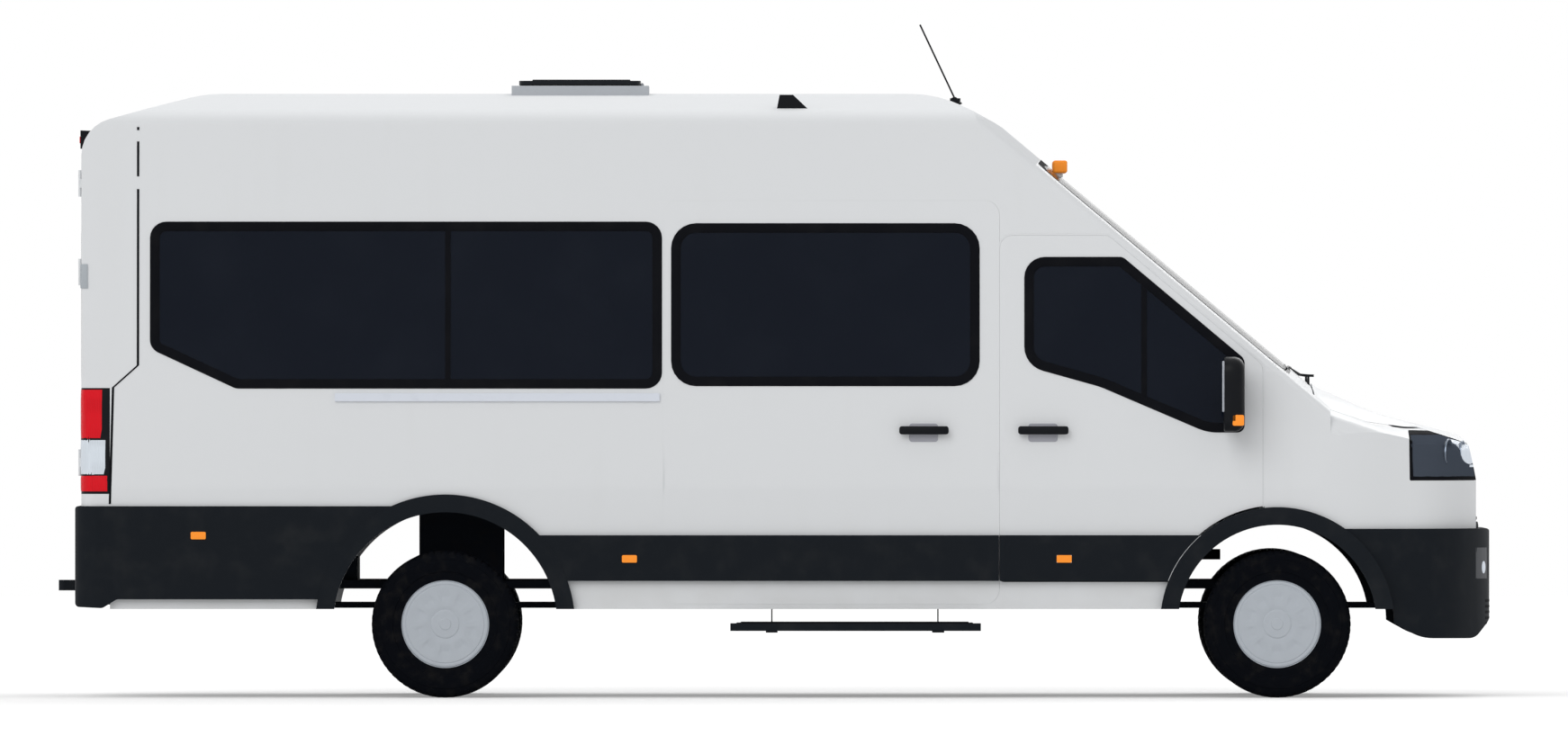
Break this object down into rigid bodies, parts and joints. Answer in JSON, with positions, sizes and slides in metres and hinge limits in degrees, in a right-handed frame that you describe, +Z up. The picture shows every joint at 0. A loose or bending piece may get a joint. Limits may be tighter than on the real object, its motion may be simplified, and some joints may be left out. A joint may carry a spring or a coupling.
{
  "type": "minibus",
  "caption": "Long-wheelbase, high-roof passenger minibus with side windows, opening doors, bonnet, roof hatch, steered front wheels and a tow bar.",
  "frame": {"origin": "on the ground, on the centreline, half-way along the overall length", "axes": "+X forward, +Y to the vehicle's left, +Z up"},
  "size_m": [6.4849, 2.49, 3.0479],
  "materials": {
    "body_paint": "gloss, very light silver grey",
    "roof_paint": "gloss, white",
    "window_glass": "dark tinted",
    "black_plastic": "grained",
    "trim_strip": "satin",
    "chassis_steel": "satin black",
    "red_lens": "clear over ribs",
    "amber_lens": "clear over ribs",
    "headlamp_lens": "clear, smoked inside",
    "tyre_rubber": "matt",
    "wheel_steel": "satin silver",
    "engine_metal": "bare",
    "seat_fabric": "woven",
    "cab_plastic": "fine grain",
    "hatch_plastic": "smooth"
  },
  "bodies": {
    "root": {"side_panel_right": "body_paint", "side_panel_left": "body_paint", "roof_panel": "roof_paint", "rear_frame": "body_paint", "front_wings": "body_paint", "bulkhead": "body_paint", "windscreen": "window_glass", "side_windows": "window_glass", "sliding_door": "body_paint", "sliding_door_rail": "trim_strip", "floor": "chassis_steel", "chassis_frame": "chassis_steel", "front_bumper": "black_plastic", "rear_bumper": "black_plastic", "side_cladding": "black_plastic", "grille": "black_plastic", "headlamps": "headlamp_lens", "tail_lamps": "red_lens", "marker_lamps": "amber_lens", "side_step": "black_plastic", "tow_bar": "black_plastic", "rear_axle": "chassis_steel", "front_suspension": "chassis_steel", "engine": "engine_metal", "fuel_tank": "black_plastic", "exhaust": "chassis_steel", "dashboard": "cab_plastic", "seat_frames": "chassis_steel", "seats": "seat_fabric", "roof_hatch_frame": "hatch_plastic", "roof_aerials": "black_plastic"},
    "front_door_right": {"front_door_right": "body_paint", "front_door_window_right": "window_glass", "mirror_right": "black_plastic"},
    "front_door_left": {"front_door_left": "body_paint", "front_door_window_left": "window_glass", "mirror_left": "black_plastic"},
    "rear_door_right": {"rear_door_right": "body_paint", "rear_door_window_right": "window_glass"},
    "rear_door_left": {"rear_door_left": "body_paint", "rear_door_window_left": "window_glass"},
    "bonnet": {"bonnet": "body_paint"},
    "roof_hatch_lid": {"roof_hatch_lid": "black_plastic"},
    "steering_wheel": {"steering_wheel": "cab_plastic"},
    "knuckle_right": {"knuckle_right": "chassis_steel"},
    "knuckle_left": {"knuckle_left": "chassis_steel"},
    "wheel_front_right": {"tyre_front_right": "tyre_rubber", "wheel_front_right": "wheel_steel"},
    "wheel_front_left": {"tyre_front_left": "tyre_rubber", "wheel_front_left": "wheel_steel"},
    "wheel_rear_right": {"tyre_rear_right": "tyre_rubber", "wheel_rear_right": "wheel_steel"},
    "wheel_rear_left": {"tyre_rear_left": "tyre_rubber", "wheel_rear_left": "wheel_steel"}
  },
  "joints": [
    {"name": "front_door_right_hinge", "type": "hinge", "parent": "root", "child": "front_door_right", "pos_m": [2.2115, -1.024, 1.3], "axis": [0, 0, 1], "range_deg": [0, 70]},
    {"name": "front_door_left_hinge", "type": "hinge", "parent": "root", "child": "front_door_left", "pos_m": [2.2115, 1.024, 1.3], "axis": [0, 0, -1], "range_deg": [0, 70]},
    {"name": "rear_door_right_hinge", "type": "hinge", "parent": "root", "child": "rear_door_right", "pos_m": [-3.1265, -0.882, 1.6], "axis": [0, 0, 1], "range_deg": [0, 180]},
    {"name": "rear_door_left_hinge", "type": "hinge", "parent": "root", "child": "rear_door_left", "pos_m": [-3.1265, 0.882, 1.6], "axis": [0, 0, -1], "range_deg": [0, 180]},
    {"name": "bonnet_hinge", "type": "hinge", "parent": "root", "child": "bonnet", "pos_m": [2.4405, 0, 1.412], "axis": [0, -1, 0], "range_deg": [0, 50]},
    {"name": "roof_hatch_hinge", "type": "hinge", "parent": "root", "child": "roof_hatch_lid", "pos_m": [-0.593, 0, 2.773], "axis": [0, 1, 0], "range_deg": [0, 50]},
    {"name": "steering_right", "type": "hinge", "parent": "root", "child": "knuckle_right", "pos_m": [2.2725, -0.735, 0.332], "axis": [0, 0, 1], "range_deg": [-30, 30]},
    {"name": "steering_left", "type": "hinge", "parent": "root", "child": "knuckle_left", "pos_m": [2.2725, 0.735, 0.332], "axis": [0, 0, 1], "range_deg": [-30, 30]},
    {"name": "steering_wheel_turn", "type": "hinge", "parent": "root", "child": "steering_wheel", "pos_m": [1.7775, 0.46, 1.29], "axis": [-0.766, 0, 0.6428], "range_deg": [-450, 450]},
    {"name": "front_right_wheel_spin", "type": "hinge", "parent": "knuckle_right", "child": "wheel_front_right", "pos_m": [2.2725, -0.885, 0.332], "axis": [0, 1, 0], "continuous": true},
    {"name": "front_left_wheel_spin", "type": "hinge", "parent": "knuckle_left", "child": "wheel_front_left", "pos_m": [2.2725, 0.885, 0.332], "axis": [0, 1, 0], "continuous": true},
    {"name": "rear_right_wheel_spin", "type": "hinge", "parent": "root", "child": "wheel_rear_right", "pos_m": [-1.4775, -0.885, 0.332], "axis": [0, 1, 0], "continuous": true},
    {"name": "rear_left_wheel_spin", "type": "hinge", "parent": "root", "child": "wheel_rear_left", "pos_m": [-1.4775, 0.885, 0.332], "axis": [0, 1, 0], "continuous": true}
  ],
  "couplings": [
    {"joint": "steering_left", "follows": "steering_right", "ratio": 1},
    {"joint": "steering_wheel_turn", "follows": "steering_right", "ratio": 15}
  ]
}
